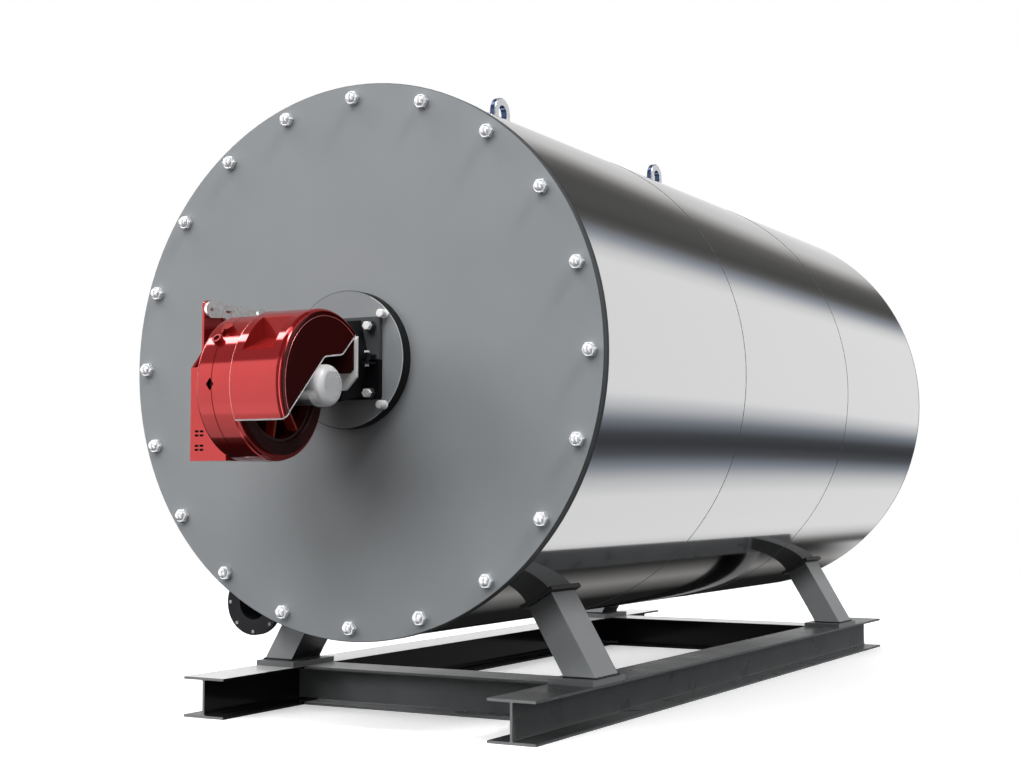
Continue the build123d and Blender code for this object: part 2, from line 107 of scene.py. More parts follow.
class BoilerColours(bpy.types.PropertyGroup):
    """Main colours of the finishes"""
    plate: colour("Plate grey", "Satin paint of the end plates and the mounting disc", (0.31, 0.327, 0.339))
    stainless: colour("Stainless", "Bright rolled sheet of the cladding", (0.665, 0.665, 0.67))
    skid: colour("Skid grey", "Satin paint of the skid's beams", (0.118, 0.121, 0.124))
    legs: colour("Leg grey", "Satin paint of the legs; the foot plates are darker", (0.43, 0.445, 0.455))
    lugs: colour("Lug steel", "Polished lifting lugs", (0.58, 0.59, 0.61))
    nuts: colour("Nut plating", "Bright plating of the acorn nuts", (0.86, 0.87, 0.885))
    black: colour("Black", "Semi-matt paint of the oil flanges and the burner's neck", (0.006, 0.006, 0.007))
    red: colour("Burner red", "Gloss paint of the burner", (0.34, 0.012, 0.012))
    pale: colour("Pale trim", "Hood trim and rear panel", (0.88, 0.88, 0.87))
    alloy: colour("Bare alloy", "Motor cowl", (0.9, 0.905, 0.915))
    zinc: colour("Zinc", "Plating of the linkage bracket and the burner's bolts", (0.9, 0.9, 0.89))
    spider: colour("Spider red", "Matt primer of the motor's spider", (0.62, 0.05, 0.028))
    floor: colour("Floor", "Pale studio floor", (0.86, 0.86, 0.86))


class StudioSettings(bpy.types.PropertyGroup):
    """Camera and lights of the studio"""
    camera_side: length("Camera side", "Camera to the right of the boiler's axis", 3.1377)
    camera_ahead: length("Camera ahead", "Camera in front of the front plate's face", 4.5395)
    camera_height: length("Camera height", "Camera above the floor", 0.8044)
    camera_turn: angle("Turn", "Camera's turn to the left of straight ahead", 29.074)
    camera_rise: angle("Rise", "Camera's tilt above level", 3.545)
    lens: bpy.props.FloatProperty(
        name="Lens", description="Focal length on a 36 mm sensor", default=57.18, unit="CAMERA")
    key_power: power("Key light", "Power of the large soft light high in front", 1340.0)
    left_power: power("Left light", "Power of the soft light low at the front left", 540.0)
    side_power: power("Side light", "Power of the soft light at the right", 105.0)
    rear_power: power("Rear light", "Power of the soft light behind the boiler", 760.0)
    room: strength("Room light", "Strength of the studio's long light panels", 1.0)
    fill: strength("Fill", "Strength of the same panels on matt surfaces", 0.05)
    floor_glow: strength("Floor glow", "Glow of the floor, which keeps its shadows faint", 0.38)


# Finishes made of nodes

def times(tint, factor):
    """The tint made darker or lighter by one factor."""
    return [part * factor for part in tint]


def noise(tree, place, scale, detail):
    """Height of a noise of the given scale and detail at a place."""
    node = tree.nodes.new("ShaderNodeTexNoise")
    node.inputs["Scale"].default_value = scale
    node.inputs["Detail"].default_value = detail
    tree.links.new(place, node.inputs["Vector"])
    return node.outputs["Fac"]


def worked(tree, operation, *terms):
    """Number from a Math node of the given operation; each term is a socket or a plain number."""
    node = tree.nodes.new("ShaderNodeMath")
    node.operation = operation
    for socket, term in zip(node.inputs, terms):
        if isinstance(term, (int, float)):
            socket.default_value = term
        else:
            tree.links.new(term, socket)
    return node.outputs["Value"]


def ranged(tree, value, low, high, start, end, interpolation="LINEAR"):
    """Number that goes evenly from start to end as value goes from low to high, and no further."""
    node = tree.nodes.new("ShaderNodeMapRange")
    node.interpolation_type = interpolation
    tree.links.new(value, node.inputs["Value"])
    for socket, number in (("From Min", low), ("From Max", high), ("To Min", start), ("To Max", end)):
        node.inputs[socket].default_value = number
    return node.outputs["Result"]


def eased(tree, value, low, high, start, end):
    """Number that goes smoothly from start to end as value goes from low to high, and no further."""
    return ranged(tree, value, low, high, start, end, "SMOOTHSTEP")


def finish(name, tint, roughness, metallic=0.0, grain=14.0, spread=0.06, rough_spread=0.15,
           bump=260.0, depth=0.00004, stretch=(1.0, 1.0, 1.0), specular=0.5):
    """Principled finish: a broad noise moves its colour and roughness, and a fine one is its bump.

    Both noises read Object coordinates, stretched per axis. Colour runs from tint * (1 - spread) to
    tint * (1 + spread), roughness likewise by rough_spread, and the bump is depth metres high.
    """
    noise_low = 0.3
    noise_high = 0.7
    made = bpy.data.materials.new(name)
    made.use_nodes = True
    tree = made.node_tree
    shader = tree.nodes["Principled BSDF"]
    shader.inputs["Metallic"].default_value = metallic
    shader.inputs["Specular IOR Level"].default_value = specular
    place = tree.nodes.new("ShaderNodeTexCoord")
    scale = tree.nodes.new("ShaderNodeMapping")
    scale.inputs["Scale"].default_value = stretch
    tree.links.new(place.outputs["Object"], scale.inputs["Vector"])
    broad = noise(tree, scale.outputs["Vector"], grain, 4.0)
    drift = tree.nodes.new("ShaderNodeValToRGB")
    ends = drift.color_ramp.elements
    ends[0].position = noise_low
    ends[1].position = noise_high
    ends[0].color = (*times(tint, 1.0 - spread), 1.0)
    ends[1].color = (*[min(part, 1.0) for part in times(tint, 1.0 + spread)], 1.0)
    tree.links.new(broad, drift.inputs["Fac"])
    tree.links.new(drift.outputs["Color"], shader.inputs["Base Color"])
    smoothest = roughness * (1.0 - rough_spread)
    roughest = roughness * (1.0 + rough_spread)
    gloss = ranged(tree, broad, noise_low, noise_high, smoothest, roughest)
    tree.links.new(gloss, shader.inputs["Roughness"])
    relief = tree.nodes.new("ShaderNodeBump")
    relief.inputs["Distance"].default_value = depth
    tree.links.new(noise(tree, scale.outputs["Vector"], bump, 2.0), relief.inputs["Height"])
    tree.links.new(relief.outputs["Normal"], shader.inputs["Normal"])
    return made


def spot(material):
    """The material's tree and the sockets x, y and z of Object coordinates, in metres."""
    tree = material.node_tree
    split = tree.nodes.new("ShaderNodeSeparateXYZ")
    tree.links.new(tree.nodes["Texture Coordinate"].outputs["Object"], split.inputs["Vector"])
    return tree, [split.outputs[axis] for axis in "XYZ"]


def sloping(material):
    """The sockets x, y and z of the surface's own direction."""
    tree = material.node_tree
    split = tree.nodes.new("ShaderNodeSeparateXYZ")
    tree.links.new(tree.nodes.new("ShaderNodeNewGeometry").outputs["Normal"], split.inputs["Vector"])
    return [split.outputs[axis] for axis in "XYZ"]


def far_from(tree, first, second, middle):
    """Distance of two coordinates from a middle: the root of the sum of both squares."""
    one = worked(tree, "SUBTRACT", first, middle[0])
    two = worked(tree, "SUBTRACT", second, middle[1])
    squares = worked(tree, "ADD", worked(tree, "MULTIPLY", one, one), worked(tree, "MULTIPLY", two, two))
    return worked(tree, "SQRT", squares)


def inside(tree, *limits):
    """1 where every value lies between its two limits, else 0: the product of all the comparisons."""
    share = 1.0
    for value, low, high in limits:
        above = worked(tree, "GREATER_THAN", value, low)
        below = worked(tree, "LESS_THAN", value, high)
        share = worked(tree, "MULTIPLY", share, worked(tree, "MULTIPLY", above, below))
    return share


def mixed(tree, share, first, second):
    """Colour that goes from first to second as share goes from 0 to 1; each is a socket or a tint."""
    mix = tree.nodes.new("ShaderNodeMix")
    mix.data_type = "RGBA"
    tree.links.new(share, mix.inputs["Factor"])
    for socket, term in ((mix.inputs["A"], first), (mix.inputs["B"], second)):
        if isinstance(term, bpy.types.NodeSocket):
            tree.links.new(term, socket)
        else:
            socket.default_value = (*term, 1.0)
    return mix.outputs["Result"]


def shaded(material, tint, share):
    """Lays a second colour over a finish where share is 1."""
    tree = material.node_tree
    socket = tree.nodes["Principled BSDF"].inputs["Base Color"]
    tree.links.new(mixed(tree, share, socket.links[0].from_socket, tint), socket)


def dress(material, *names):
    """Gives one finish to every material slot of the named CAD nodes."""
    for name in names:
        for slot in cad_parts[name].material_slots:
            slot.material = material


def like(start):
    """Names of the CAD nodes that begin with the given words, in order."""
    return sorted(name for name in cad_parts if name.startswith(start))


def centre(name, *axes):
    """Middle of a CAD node's box along the given axes: 0 for x, 1 for y and 2 for z."""
    low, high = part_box(name)
    return [(low[axis] + high[axis]) / 2.0 for axis in axes]


# Shapes worked out as arrays

def revolve(radii, heights, count, flats=None):
    """Rings about +Z: row i has radius radii[i] at heights[i], with count points to a turn.

    Where flats[i] is 1 the ring is a hexagon of inner radius radii[i]: its radius is that inner radius
    divided by the cosine of the angle to the nearest flat's middle; 0 leaves a circle.
    """
    turn = np.linspace(0.0, 2.0 * np.pi, count, endpoint=False)
    radii = np.asarray(radii, float)[:, None]
    hexagon = 1.0 / np.cos((turn + np.pi / 6.0) % (np.pi / 3.0) - np.pi / 6.0)
    share = np.zeros_like(radii) if flats is None else np.asarray(flats, float)[:, None]
    reach = radii * (1.0 + share * (hexagon - 1.0))
    level = np.broadcast_to(np.asarray(heights, float)[:, None], reach.shape)
    return np.stack([reach * np.cos(turn), reach * np.sin(turn), level], -1)


def ring_faces(rows, count, caps=True):
    """Quads between neighbouring closed rings, and a face over each end."""
    row = np.arange(rows - 1)[:, None] * count
    here = np.arange(count)[None, :]
    after = (here + 1) % count
    quads = np.stack([row + here, row + after, row + count + after, row + count + here], -1)
    faces = quads.reshape(-1, 4).tolist()
    if caps:
        faces.append(np.arange(count)[::-1].tolist())
        faces.append((np.arange(count) + (rows - 1) * count).tolist())
    return faces


def facing(direction):
    """Turns +Z to a direction.

    The columns are a side vector, the direction crossed with it, and the direction.
    """
    forward = np.asarray(direction, float) / np.linalg.norm(direction)
    helper = np.array([1.0, 0.0, 0.0]) if abs(forward[0]) < 0.9 else np.array([0.0, 1.0, 0.0])
    side = np.cross(helper, forward)
    side /= np.linalg.norm(side)
    return np.stack([side, np.cross(forward, side), forward], -1)


def repeat(rings, places, turns):
    """Copies of one ringed shape: every point is turned by each matrix and moved to each place."""
    rows, count = rings.shape[:2]
    turned = np.einsum("mij,nj->mni", np.asarray(turns), rings.reshape(-1, 3))
    points = turned + np.asarray(places)[:, None, :]
    faces = ring_faces(rows, count)
    step = rows * count
    every = [[corner + step * copy for corner in face] for copy in range(len(points)) for face in faces]
    return points.reshape(-1, 3), every


def put(name, points, faces, material, slot, smooth=30.0):
    """Makes the piece, shades it smooth below an angle in degrees, and lets it ride on the boiler."""
    mesh = bpy.data.meshes.new(name)
    mesh.from_pydata(np.asarray(points).tolist(), [], faces)
    mesh.validate()
    mesh.materials.append(material)
    mesh.shade_smooth()
    mesh.set_sharp_from_angle(angle=math.radians(smooth))
    piece = bpy.data.objects.new(name, mesh)
    bpy.context.scene.collection.objects.link(piece)
    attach(piece, "root")
    return piece


def acorn_nut(flats, height):
    """Rings of a hexagon nut with a chamfered shoulder and a dome, stacked along +Z.

    The dome is a quarter ellipse: its radius follows the cosine of an angle, and its height over the
    shoulder the sine.
    """
    inner = flats / 2.0
    shoulder = height * 0.48
    dome = inner * 0.84
    arc = np.linspace(0.0, 0.97, 10) * np.pi / 2.0
    body_radii = np.array([0.96, 1.0, 1.0, 0.985]) * inner
    body_heights = [0.0, height * 0.04, shoulder * 0.8, shoulder]
    radii = np.concatenate([body_radii, dome * np.cos(arc)])
    heights = np.concatenate([body_heights, shoulder + (height - shoulder) * np.sin(arc)])
    flat = np.concatenate([[0.4, 1.0, 1.0, 0.25], np.zeros(len(arc))])
    return revolve(radii, heights, 36, flat)


def hexagon_bolt(flats, height):
    """Rings of a shank with a hexagon head on its upper half, chamfered at the top, stacked along +Z.

    Radii are shares of half the width across flats, and heights are shares of the whole height.
    """
    radii = np.array([0.55, 0.55, 0.95, 1.0, 1.0, 0.92, 0.4]) * (flats / 2.0)
    heights = np.array([0.0, 0.5, 0.5, 0.53, 0.95, 1.0, 1.0]) * height
    return revolve(radii, heights, 36, [0, 0, 0.5, 1, 1, 0.1, 0])


def cap_bolt(radius, height):
    """Rings of a washer, a shank and a round cap head, stacked along +Z.

    The head's rim is a quarter ellipse, by the cosine and the sine of one angle.
    """
    arc = np.linspace(0.0, 1.0, 6) * np.pi / 2.0
    shank_radii = np.array([1.1, 1.1, 0.7, 0.7, 1.0]) * radius
    shank_heights = np.array([0.0, 0.1, 0.1, 0.42, 0.42]) * height
    rim_radii = radius * (0.88 + 0.12 * np.cos(arc))
    rim_heights = height * (0.94 + 0.06 * np.sin(arc))
    radii = np.concatenate([shank_radii, rim_radii, [radius * 0.3]])
    heights = np.concatenate([shank_heights, rim_heights, [height]])
    return revolve(radii, heights, 32)


def circle_places(count, radius, y):
    """Points at even steps round the boiler's axis, from the top: x by the sine and z by the cosine."""
    turn = np.arange(count) * 2.0 * np.pi / count
    return np.stack([radius * np.sin(turn), np.full(count, y), axis_z + radius * np.cos(turn)], -1)


def bead(path, radius):
    """Weld bead: a small ring carried along a closed level path, its radius swelling in regular ripples.

    The ring lies across the path, in the plane of the path's direction crossed with +Z and of that
    crossed with the direction; its radius is radius * (1 + 0.14 * sine of the ripple angle).
    """
    path = np.asarray(path, float)
    ahead = np.roll(path, -1, 0) - np.roll(path, 1, 0)
    ahead /= np.linalg.norm(ahead, axis=1)[:, None]
    across = np.cross(ahead, np.array([0.0, 0.0, 1.0]))
    across /= np.linalg.norm(across, axis=1)[:, None]
    out = np.cross(across, ahead)
    turn = np.linspace(0.0, 2.0 * np.pi, 8, endpoint=False)
    step = np.linalg.norm(np.roll(path, -1, 0) - path, axis=1)
    ripple = radius * (1.0 + 0.14 * np.sin(np.cumsum(step) * 2.0 * np.pi / (radius * 1.6)))
    circle = across[:, None, :] * np.cos(turn)[None, :, None] + out[:, None, :] * np.sin(turn)[None, :, None]
    points = path[:, None, :] + circle * ripple[:, None, None]
    rows, count = points.shape[:2]
    row = (np.arange(rows) * count)[:, None]
    after_row = np.roll(np.arange(rows), -1)[:, None] * count
    here = np.arange(count)[None, :]
    after = (here + 1) % count
    quads = np.stack([row + here, after_row + here, after_row + after, row + after], -1)
    return points.reshape(-1, 3), quads.reshape(-1, 4).tolist()


def arc_bead(x, middle, radius, limits, thick):
    """Round rod bent to an arc across the boiler: a ring of radius thick carried between two angles.

    Angles are in degrees about the line along X through middle, from the rear upwards. A point's
    distance from that line is radius + thick * sine, and its place along X is x + thick * cosine.
    """
    steps = 120
    sides = 8
    turn = np.radians(np.linspace(*limits, steps))[:, None]
    ring = np.linspace(0.0, 2.0 * np.pi, sides, endpoint=False)[None, :]
    reach = radius + thick * np.sin(ring)
    rows = np.stack([
        np.broadcast_to(x + thick * np.cos(ring), (steps, sides)),
        middle[0] + reach * np.cos(turn),
        middle[1] + reach * np.sin(turn),
    ], -1)
    return rows.reshape(-1, 3), ring_faces(steps, sides)


def seam_bead(y, radius, width):
    """Flat half-round ring round the drum at y: it stands a sixth of its width proud of the sheet.

    Across its width an angle goes from 0 to 180 degrees: the radius grows by a third of the width
    times the sine, and the place along Y follows the cosine.
    """
    turn = np.linspace(0.0, 2.0 * np.pi, 256, endpoint=False)
    across = np.linspace(0.0, np.pi, 7)
    reach = radius - width / 6.0 + np.sin(across) * width / 3.0
    along = y - np.cos(across) * width / 2.0
    rows = np.stack([
        np.outer(reach, np.cos(turn)),
        np.broadcast_to(along[:, None], (len(across), len(turn))),
        axis_z - np.outer(reach, np.sin(turn)),
    ], -1)
    return rows.reshape(-1, 3), ring_faces(len(across), len(turn), caps=False)


def outline(low, high, level, step):
    """Points along the sides of a level rectangle from low to high, about step metres apart."""
    corners = np.array([
        (low[0], low[1], level),
        (high[0], low[1], level),
        (high[0], high[1], level),
        (low[0], high[1], level),
    ], float)
    runs = []
    for start, end in zip(corners, np.roll(corners, -1, 0)):
        count = max(int(np.linalg.norm(end - start) / step), 1)
        share = np.arange(count)[:, None] / count
        runs.append(start + (end - start) * share)
    return np.concatenate(runs)


def joined(shapes):
    """One list of points and faces from several shapes."""
    points = np.concatenate([np.asarray(shape[0]) for shape in shapes])
    starts = np.cumsum([0] + [len(shape[0]) for shape in shapes])
    faces = []
    for start, shape in zip(starts, shapes):
        faces += [[corner + int(start) for corner in face] for face in shape[1]]
    return points, faces


# Pieces

class BOILER_OT_plates(bpy.types.Operator):
    """Satin grey paint on the end plates, the flange ring, the mounting disc and the burner's flange"""
    bl_idname = "boiler.plates"
    bl_label = "End plates"

    satin = {"roughness": 0.42, "specular": 0.05, "grain": 3.0, "spread": 0.03, "bump": 420.0,
             "depth": 0.00003}
    # Painted shade on the edges of the end plates, the flange ring and the mounting disc
    painted_shade_plate_edge = (0.085, 0.09, 0.094)
    painted_shade_ring_edge = (0.05, 0.053, 0.056)
    painted_shade_disc_edge = (0.015, 0.015, 0.016)
    painted_highlight_disc_line = (0.62, 0.64, 0.66)
    # Distances inside the rim where the edge's painted shade begins and is full, in metres
    edge_begins = 0.0035
    edge_full = 0.0015
    # Distances inside the rim where the painted highlight line begins and ends, in metres
    line_begins = 0.0055
    line_ends = 0.0034
    # The painted highlight line starts this far right of the boiler's axis, in metres
    line_right = 0.1
    # Painted shadow: the burner's flange is black from this far under the boiler's axis, in metres
    flange_step = 0.006

    def plate(self, name, tint, edge, line=None):
        """Paint of a round plate with painted shade on its edge over the last millimetres.

        Where a line colour is given, the right half has a thin painted highlight line just inside that edge.
        """
        paint = finish(name + "_paint", tint, **self.satin)
        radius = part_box(name)[1][0]
        tree, (x, y, z) = spot(paint)
        rim = far_from(tree, x, z, (0.0, axis_z))
        if line:
            # Painted highlight: a thin bright line inside the disc's edge
            width = (rim, radius - self.line_begins, radius - self.line_ends)
            shaded(paint, line, inside(tree, width, (x, self.line_right, radius)))
        # Painted shade on the plate's edge
        at_edge = eased(tree, rim, radius - self.edge_begins, radius - self.edge_full, 0.0, 1.0)
        shaded(paint, edge, at_edge)
        dress(paint, name)

    def execute(self, context):
        shades = context.scene.boiler_colours
        self.plate("front_plate", shades.plate, self.painted_shade_plate_edge)
        self.plate("rear_plate", shades.plate, self.painted_shade_plate_edge)
        self.plate("shell_flange", shades.plate, self.painted_shade_ring_edge)
        # The mounting disc's darker grey is painted shade from the burner in front of it
        self.plate("burner_mounting_disc", times(shades.plate, 0.9), self.painted_shade_disc_edge, self.painted_highlight_disc_line)
        # The burner's flange: a dark grey that is painted shade, and black below the axis as painted shadow
        paint = finish("burner_flange_paint", times(shades.plate, 0.25), **self.satin)
        tree, (x, y, z) = spot(paint)
        shaded(paint, shades.black, worked(tree, "LESS_THAN", z, axis_z - self.flange_step))
        dress(paint, "burner_flange")
        return {"FINISHED"}


class BOILER_OT_cladding(bpy.types.Operator):
    """Bright rolled stainless steel on the three cladding sections, and sealant lines between them"""
    bl_idname = "boiler.cladding"
    bl_label = "Cladding"

    sealant_grey = (0.05, 0.05, 0.052)

    def execute(self, context):
        tint = context.scene.boiler_colours.stainless
        sheet = finish("stainless_sheet", tint, 0.07, 1.0, grain=2.0, spread=0.015, rough_spread=0.12,
                       bump=90.0, depth=0.000004, stretch=(1.0, 0.08, 1.0))
        dress(sheet, *like("cladding_"))
        sealant = finish("seam_sealant", self.sealant_grey, 0.55, grain=40.0, spread=0.15,
                         bump=200.0, depth=0.0002)
        beads = []
        for name in ("cladding_front", "cladding_middle"):
            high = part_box(name)[1]
            beads.append(seam_bead(high[1], high[0], context.scene.boiler_sizes.seam_width))
        put("seam_beads", *joined(beads), sealant, "black_paint")
        return {"FINISHED"}


class BOILER_OT_skid(bpy.types.Operator):
    """Satin paint on the skid, the legs, the hidden shell and the flue outlet, and the legs' weld beads"""
    bl_idname = "boiler.skid"
    bl_label = "Skid and legs"

    # Painted light and painted shade: lighter and darker copies of the same paint
    painted_shade_top = (0.03, 0.031, 0.032)
    painted_light_top = (0.6, 0.6, 0.6)
    painted_light_end = (0.26, 0.265, 0.27)
    painted_shade_inner_side = (0.02, 0.02, 0.021)
    leg_painted_shade = (0.025, 0.025, 0.026)
    painted_shade_black = (0.016, 0.016, 0.017)
    painted_shade_right_side = 0.68
    # Distances over which the tops' painted shade and painted light fade, from the beams' front end and from
    # the left, in metres
    front_fade = (0.3, 0.8)
    left_fade = 0.8
    # Distances from the drum over which the legs' painted shade fades, in metres, and its share there and in
    # reflections
    painted_shade_fade = (0.02, 0.15)
    painted_shade_share = 0.85
    reflection_shade_share = 0.92

    def beams(self, tint):
        """Beam paint with painted light and shade: pale cut ends, dim or lit tops, lit and shaded copies."""
        coat = {"grain": 6.0, "spread": 0.1, "bump": 300.0}
        smooth = {"depth": 0.00002, "specular": 0.04, **coat}
        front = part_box("beam_right")[0][1]
        paint = finish("skid_paint", tint, 0.3, **smooth)
        tree, (x, y, z) = spot(paint)
        upward = worked(tree, "GREATER_THAN", sloping(paint)[2], steep)
        near_front = eased(tree, y, front + self.front_fade[0], front + self.front_fade[1], 1.0, 0.3)
        # Painted shade on the top near the front end
        shaded(paint, self.painted_shade_top, worked(tree, "MULTIPLY", upward, near_front))
        # Painted light on the front end face
        shaded(paint, self.painted_light_end, worked(tree, "LESS_THAN", y, front + skin))
        dress(paint, "beam_right", "boiler_shell", "flue_spigot", "flue_flange")
        # Lighter copy of the paint for the front cross beam: painted light
        paint = finish("skid_paint_painted_light", times(tint, 1.8), 0.3, **smooth)
        tree, (x, y, z) = spot(paint)
        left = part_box("cross_beam_front")[0][0]
        upward = worked(tree, "GREATER_THAN", sloping(paint)[2], steep)
        near_left = eased(tree, x, left, left + self.left_fade, 1.0, 0.0)
        # Painted light on the top, fading to the right
        shaded(paint, self.painted_light_top, worked(tree, "MULTIPLY", upward, near_left))
        dress(paint, "cross_beam_front")
        # Much darker copy of the paint for the far beams: painted shade
        paint = finish("skid_paint_painted_shade", times(tint, 0.11), 0.1, depth=0.00001, specular=0.03, **coat)
        tree, (x, y, z) = spot(paint)
        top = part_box("beam_left")[1][2]
        # Painted light on the top
        shaded(paint, self.painted_light_top, worked(tree, "GREATER_THAN", z, top - skin))
        # Painted light on the front end face
        shaded(paint, self.painted_light_end, worked(tree, "LESS_THAN", y, front + skin))
        dress(paint, "beam_left", "cross_beam_rear")

    def legs(self, tint):
        """Leg paint with painted shade at the right, on inner sides, near the drum and in reflections."""
        coat = {"grain": 6.0, "spread": 0.08, "bump": 300.0, "depth": 0.00005}
        paint = finish("leg_paint", tint, 0.4, specular=0.15, **coat)
        tree, (x, y, z) = spot(paint)
        across, along = sloping(paint)[:2]
        rightward = worked(tree, "GREATER_THAN", across, steep)
        # Painted shade: the right faces are darker
        shaded(paint, times(tint, self.painted_shade_right_side), rightward)
        # Painted shade: the left legs' inner sides are near black
        at_left = worked(tree, "LESS_THAN", x, 0.0)
        shaded(paint, self.painted_shade_inner_side, worked(tree, "MULTIPLY", rightward, at_left))
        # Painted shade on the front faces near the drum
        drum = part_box("cladding_front")[1][0]
        forward = worked(tree, "LESS_THAN", along, -steep)
        away = far_from(tree, x, z, (0.0, axis_z))
        near, far = [drum + reach for reach in self.painted_shade_fade]
        near_drum = eased(tree, away, near, far, self.painted_shade_share, 0.0)
        shaded(paint, self.leg_painted_shade, worked(tree, "MULTIPLY", forward, near_drum))
        # Painted shade in reflections: the legs look darker to mirrored rays
        mirrored = tree.nodes.new("ShaderNodeLightPath").outputs["Is Glossy Ray"]
        shaded(paint, self.leg_painted_shade, worked(tree, "MULTIPLY", mirrored, self.reflection_shade_share))
        dress(paint, *like("leg_"))
        dress(finish("foot_paint", times(tint, 0.3), 0.4, **coat), *like("foot_plate_"))

    def welds(self, size, material):
        """Weld beads round the legs' feet: the path is the outline of each leg's lowest points."""
        slice_height = 0.001
        step = 0.004
        beads = []
        for name in like("leg_"):
            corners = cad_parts[name].data.vertices
            points = np.empty(len(corners) * 3)
            corners.foreach_get("co", points)
            points = points.reshape(-1, 3)
            foot = points[points[:, 2] < points[:, 2].min() + slice_height]
            low, high = foot.min(0), foot.max(0)
            beads.append(bead(outline(low, high, low[2] + slice_height, step), size))
        put("leg_welds", *joined(beads), material, "skid_paint")

    def execute(self, context):
        shades = context.scene.boiler_colours
        self.beams(shades.skid)
        self.legs(shades.legs)
        # Near-black pads and weld beads: painted shade in the crevices under the drum and at the feet
        dark = finish("pad_painted_shade", self.painted_shade_black, 0.45, grain=6.0, spread=0.1, bump=300.0, depth=0.00005,
                      specular=0.15)
        dress(dark, *like("wrapper_pad_"))
        self.welds(context.scene.boiler_sizes.weld * 0.8, dark)
        return {"FINISHED"}


class BOILER_OT_oil_flanges(bpy.types.Operator):
    """Semi-matt black paint on the oil connections, the burner's neck and its hinge"""
    bl_idname = "boiler.oil_flanges"
    bl_label = "Oil connections"

    # Radii from the flange's axis between which its bolt holes lie, in metres, and the painted light on their
    # walls
    hole_ring = (0.1, 0.114)
    painted_light_hole_wall = (0.9, 0.9, 0.9)

    def execute(self, context):
        tint = context.scene.boiler_colours.black
        coat = {"grain": 10.0, "spread": 0.12, "bump": 300.0, "depth": 0.00005, "specular": 0.18}
        dress(finish("black_paint", tint, 0.6, **coat), "burner_neck", "burner_hinge")
        paint = finish("oil_paint", times(tint, 2.0), 0.6, **coat)
        dress(paint, *like("oil_"))
        tree, (x, y, z) = spot(paint)
        off_axis = far_from(tree, x, z, centre("oil_flange_front", 0, 2))
        along = worked(tree, "ABSOLUTE", sloping(paint)[1])
        # Painted light on the hole walls, for the bright backdrop seen through the holes
        shaded(paint, self.painted_light_hole_wall, inside(tree, (off_axis, *self.hole_ring), (along, -1.0, steep)))
        return {"FINISHED"}


